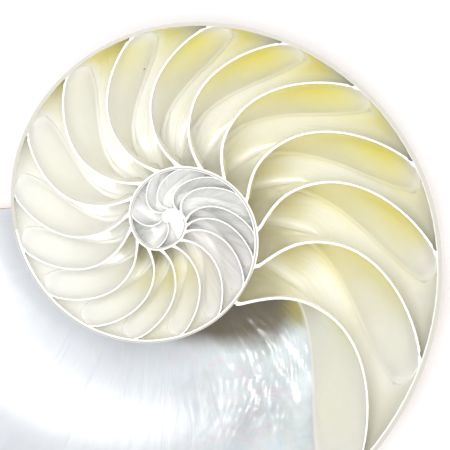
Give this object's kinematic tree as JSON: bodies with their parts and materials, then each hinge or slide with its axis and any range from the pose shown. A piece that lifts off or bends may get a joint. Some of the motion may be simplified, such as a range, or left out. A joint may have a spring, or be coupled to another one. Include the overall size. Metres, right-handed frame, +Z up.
{
  "type": "chambered shell half",
  "caption": "Half of a coiled chambered sea shell, cut through its plane of symmetry to show the pearly living chamber and the curved septa.",
  "frame": {"origin": "on the surface that the half lies on, under the middle of its box", "axes": "+Z up, away from the surface; +X along the longest extent, from the mouth to the far side of the coil; the cut face looks up and leans about 10 degrees towards +X"},
  "size_m": [0.1074, 0.0846, 0.0323],
  "materials": {
    "shell": "pearly nacre, satin to glossy, with a cream outside"
  },
  "bodies": {
    "root": {"shell_half": "shell"}
  },
  "joints": []
}
